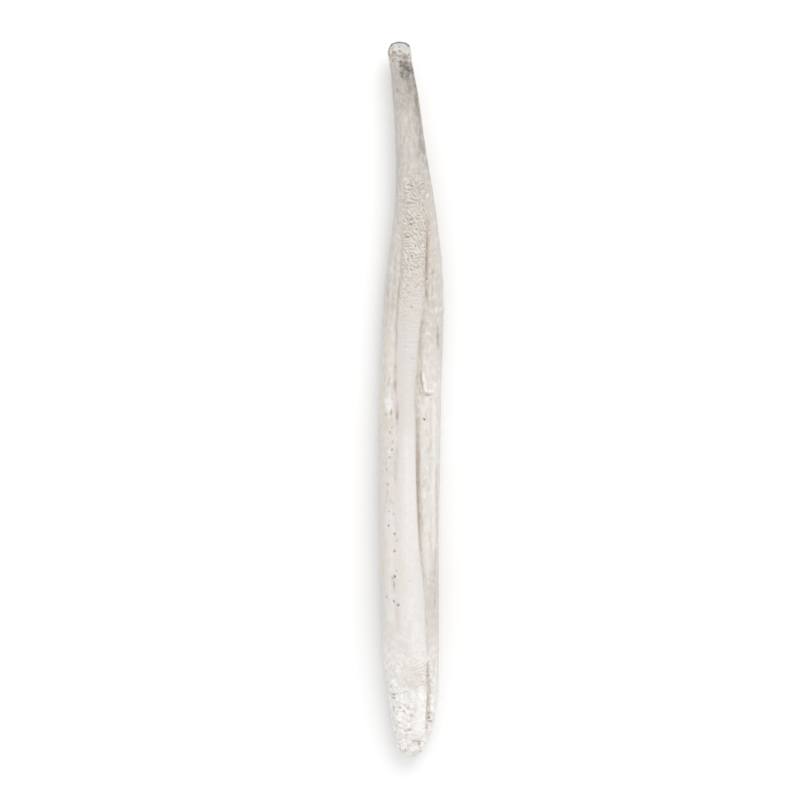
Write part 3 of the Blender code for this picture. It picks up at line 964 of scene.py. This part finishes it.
# %% Body and shaft
def colour_body(skin):
    mask, streaks, blotches, grit = skin.mask, skin.streaks, skin.blotches, skin.grit
    skin.lay(streaks.ramp(0.45, 0.7) * 0.35, FLESH)
    skin.lay(skin.pale_streaks.ramp(0.5, 0.7) * 0.35, BLEACHED_AND_HIGHLIGHT)
    skin.lay(mask("underneath") * blotches.ramp(0.35, 0.65) * 0.6, FLESH)
    # The inside of the groove underneath is painted darker with the crease colour.
    skin.lay(mask("groove") * (0.3 + 0.4 * streaks.ramp(0.4, 0.6)), CREVICE_SHADE_AND_DIRT)
    skin.lay(mask("flesh") * blotches.ramp(0.35, 0.65) * 0.7, FLESH)
    skin.lay(mask("flesh") * streaks.ramp(0.5, 0.68) * 0.7, FLESH_BROWN)
    # Greyer towards the shaft; on the right flank this is painted shade.
    skin.lay(mask("dull_and_shade") * (0.5 + 0.4 * grit.ramp(0.4, 0.6)), DULL_AND_SHADE)
    skin.lay(mask("shaft") * 0.9, mixed(skin.tree, streaks.ramp(0.4, 0.62), SHAFT_GREY, SHAFT_BROWN))
    skin.lay(mask("shaft") * blotches.ramp(0.5, 0.7) * 0.5, SHAFT_BLUE)
    # Painted shade down the right side of the shaft.
    skin.lay(mask("shaft_shade") * streaks.ramp(0.3, 0.6) * 0.4, SHAFT_SHADE)


# %% Stains with some painted shade and highlights among them, and the ridges over them: painted shade in their hollows, a painted highlight on the worm ridges' tops
def colour_stains(skin):
    mask, grit = skin.mask, skin.grit
    # Bleached bone, and painted highlights on the crest's top, the flake's edges and the white boss.
    skin.lay(mask("bleached_and_highlight") * (0.5 + 0.5 * grit.ramp(0.4, 0.6)), BLEACHED_AND_HIGHLIGHT)
    skin.lay(mask("yellow") * (0.3 + 0.7 * grit.ramp(0.4, 0.6)), YELLOW_STAIN)
    # Pink stains, and one stroke of painted shade down the bone's right side.
    skin.lay(mask("pink_and_shade") * (0.15 + 0.6 * grit.ramp(0.4, 0.6)), PINK_STAIN_AND_SHADE)
    # Olive stains, and painted shade along the right furrow and two edges.
    skin.lay(mask("olive_and_shade") * (0.15 + 0.45 * grit.ramp(0.4, 0.65)), OLIVE_STAIN_AND_SHADE)
    skin.lay(mask("worm") * 0.3, DULL_AND_SHADE)
    # Painted shade with olive-brown dirt in the hollows between the worm ridges.
    skin.lay(mask("worm_hollow") ** 2.0 * (0.2 + 0.7 * grit.ramp(0.4, 0.62)), CREVICE_SHADE_AND_DIRT)
    # Painted highlight on the tops of the worm ridges.
    skin.lay(mask("worm_ridge") * 0.25, PALE_STREAK_AND_HIGHLIGHT)
    # Painted shade in the hollows of the wrinkles and arches.
    skin.lay(mask("wrinkle_hollow") * 0.2, CREVICE_SHADE_AND_DIRT)
    flank_and_shaft = mask("flesh") + mask("shaft") * 0.5
    skin.lay(flank_and_shaft * skin.pale_streaks.ramp(0.52, 0.68) * 0.7, PALE_STREAK_AND_HIGHLIGHT)


# %% The two ends
def colour_base(skin):
    mask, grit = skin.mask, skin.grit
    skin.lay(mask("chalky") * 0.6, BLEACHED_AND_HIGHLIGHT)
    skin.lay(mask("chalky") * grit.ramp(0.46, 0.32) * 0.45, FLESH_BROWN)
    skin.lay(mask("chalky") * grit.ramp(0.48, 0.59), CHALK)
    skin.lay(mask("arches") * 0.5, FLESH)
    # Painted shade with brown dirt in the low ground and pits of the spongy base.
    skin.lay(mask("spongy") * mask("low_ground").ramp(0.52, 0.8) * 0.35, SPONGE_SHADE_AND_DIRT)
    skin.lay(mask("cell_hollow") * 0.5, SPONGE_SHADE_AND_DIRT)
    skin.lay(mask("thumb") * (0.15 + 0.35 * skin.blotches.ramp(0.3, 0.6)), CHALK)


def colour_tip(skin):
    mask, grit = skin.mask, skin.grit
    # The low ground between the knob's lumps is painted darker: painted shade with brown dirt.
    knob = mixed(skin.tree, mask("low_ground").ramp(0.4, 0.64), KNOB_CREAM, KNOB_SHADE_BROWN)
    skin.lay(mask("knob") * 0.85, knob)
    skin.lay(mask("cap_end") * 0.8, CAP_GREEN)
    skin.lay(mask("cap") * (0.4 + 0.6 * grit.ramp(0.35, 0.6)), CAP_GREEN)
    skin.lay(mask("sooty") * (0.35 + 0.6 * grit.ramp(0.35, 0.65)), SOOT)
    skin.lay(mask("ring") * (0.5 + 0.45 * grit.ramp(0.35, 0.55)), RING_STAIN)
    # Painted shade on the cap's rim.
    skin.lay(mask("cap_rim_shade") * 0.85, CAP_RIM_SHADE)


# %% Painted shade and dirt in the dents, and specks over everything
def colour_shade_and_dirt(skin):
    mask = skin.mask
    # Troughs are painted darker: painted shade in the furrows, olive and brown with dirt.
    trough_shade_and_dirt = mixed(skin.tree, mask("trough_rust"), OLIVE_STAIN_AND_SHADE, CREVICE_SHADE_AND_DIRT)
    skin.lay(mask("trough_hollow") * (0.35 + 0.5 * skin.streaks.ramp(0.35, 0.6)), trough_shade_and_dirt)
    for dent in ("line", "dot"):
        # Lines and holes are painted darker: grey painted shade with dirt, and a rustier brown dirt
        # where rust is high.
        shade_and_dirt = mixed(skin.tree, mask(f"{dent}_rust"), GREY_SHADE_AND_DIRT, RUST_DIRT)
        skin.lay(mask(f"{dent}_hollow") * 0.75, shade_and_dirt)
    skin.lay(skin.specks * 0.3, SPECK)
    skin.lay(skin.fine.ramp(0.6, 0.8) * 0.1, SPECK)


# %% The finish as one material
BUMP_STRENGTH = 0.4
BUMP_DEPTH = 0.05 * MM
BONE_IOR = 1.45
BONE_SPECULAR = 0.35


def bone_finish():
    material = bpy.data.materials.new("dry_bone")
    material.use_nodes = True
    tree = material.node_tree
    shader = tree.nodes["Principled BSDF"]
    skin = Skin(tree)
    for colour_part in (colour_body, colour_stains, colour_base, colour_tip, colour_shade_and_dirt):
        colour_part(skin)
    tree.links.new(skin.colour.socket, shader.inputs["Base Color"])

    rough = 0.6 + (skin.fine - 0.5) * 0.2 + skin.mask("worm_hollow") * 0.1
    tree.links.new(rough.socket, shader.inputs["Roughness"])
    bumps = skin.fine * 0.4 + skin.streaks * 0.4 - skin.specks * 0.5
    sockets = {"Strength": BUMP_STRENGTH, "Distance": BUMP_DEPTH, "Height": bumps}
    bump = Wire.out(tree, "ShaderNodeBump", {}, sockets)
    tree.links.new(bump.socket, shader.inputs["Normal"])
    shader.inputs["IOR"].default_value = BONE_IOR
    shader.inputs["Specular IOR Level"].default_value = BONE_SPECULAR
    return material


# %% Raise the relief and bake it to a plain mesh
RELIEF = {
    **GUIDES,
    "Worm height": 0.18 * MM,
    "Wrinkle height": 0.06 * MM,
    "Lump height": 0.45 * MM,
    "Sponge depth": 0.3 * MM,
    "Grain height": 0.1 * MM,
    "Seed": 4.0,
    "Material": bone_finish(),
}


def raise_relief():
    modifier = bone.modifiers.new("relief", "NODES")
    modifier.node_group = relief_group()
    for socket in modifier.node_group.interface.items_tree:
        if socket.name in RELIEF:
            modifier[socket.identifier] = RELIEF[socket.name]
    apply_modifiers(bone)
    bone.data.shade_smooth()
    for guide in GUIDES.values():
        bpy.data.objects.remove(guide)
    print("relief done:", sum(len(p.vertices) - 2 for p in bone.data.polygons), "triangles")


raise_relief()
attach(bone, "root")
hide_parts("baculum")

# %% [markdown]
# ## The stage
#
# The bone lies on plain white paper under a large, even sky of light, as in a tent of white cloth,
# with a soft lamp beyond its tip so that ridges and furrows still show. The camera looks straight
# down, far enough away that the bone's height hardly widens it.

# %% Sizes and places of the stage
VIEW_WIDTH = 145.0 * MM
VIEW_MIDDLE = (-2.05 * MM, 0.0)
BONE_MIDDLE_HEIGHT = 4.5 * MM
LENS = 100
SENSOR = 36
PAPER_HALF_SIDE = 2.0
PAPER_WHITE = (0.9, 0.9, 0.9, 1)
SKY_STRENGTH = 0.95
LAMP_WIDTH = 0.6
LAMP_POWER = 2.6
LAMP_PLACE = (0.2, 0.52, 0.62)


# %% The paper
def plain_material(name, colour, roughness):
    material = bpy.data.materials.new(name)
    material.use_nodes = True
    shader = material.node_tree.nodes["Principled BSDF"]
    shader.inputs["Base Color"].default_value = colour
    shader.inputs["Roughness"].default_value = roughness
    return material


def make_paper():
    mesh = bmesh.new()
    bmesh.ops.create_grid(mesh, x_segments=1, y_segments=1, size=PAPER_HALF_SIDE)
    data = bpy.data.meshes.new("paper_floor")
    mesh.to_mesh(data)
    mesh.free()
    paper = bpy.data.objects.new("paper_floor", data)
    data.materials.append(plain_material("white_paper", PAPER_WHITE, 0.9))
    bpy.context.scene.collection.objects.link(paper)
    paper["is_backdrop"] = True


# %% The light
def make_light():
    world = bpy.data.worlds.new("tent")
    bpy.context.scene.world = world
    world.use_nodes = True
    background = world.node_tree.nodes["Background"]
    background.inputs["Color"].default_value = (1, 1, 1, 1)
    background.inputs["Strength"].default_value = SKY_STRENGTH
    lamp = bpy.data.lights.new("soft_lamp", "AREA")
    lamp.shape = "DISK"
    lamp.size = LAMP_WIDTH
    lamp.energy = LAMP_POWER
    lamp_object = bpy.data.objects.new("soft_lamp", lamp)
    lamp_object.location = LAMP_PLACE
    lamp_object.rotation_euler = (-lamp_object.location).to_track_quat("-Z", "Y").to_euler()
    bpy.context.scene.collection.objects.link(lamp_object)


# %% The camera
def make_camera():
    camera = bpy.data.cameras.new("camera")
    camera.lens = LENS
    camera.sensor_width = SENSOR
    camera.clip_start = 0.01
    camera_object = bpy.data.objects.new("camera", camera)
    distance = VIEW_WIDTH * LENS / SENSOR
    camera_object.location = (*VIEW_MIDDLE, BONE_MIDDLE_HEIGHT + distance)
    bpy.context.scene.collection.objects.link(camera_object)
    bpy.context.scene.camera = camera_object


make_paper()
make_light()
make_camera()
bpy.context.scene.view_settings.view_transform = "Standard"

# %% [markdown]
# ## Size
#
# The imported box and the finished box are printed side by side, to show how far the looks change the
# bone's size.

# %% Print the sizes
VISUAL_BOX = [list(corner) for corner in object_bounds()]
print("packed box ", [[round(value / MM, 2) for value in corner] for corner in CAD_BOX])
print("visual box ", [[round(value / MM, 2) for value in corner] for corner in VISUAL_BOX])
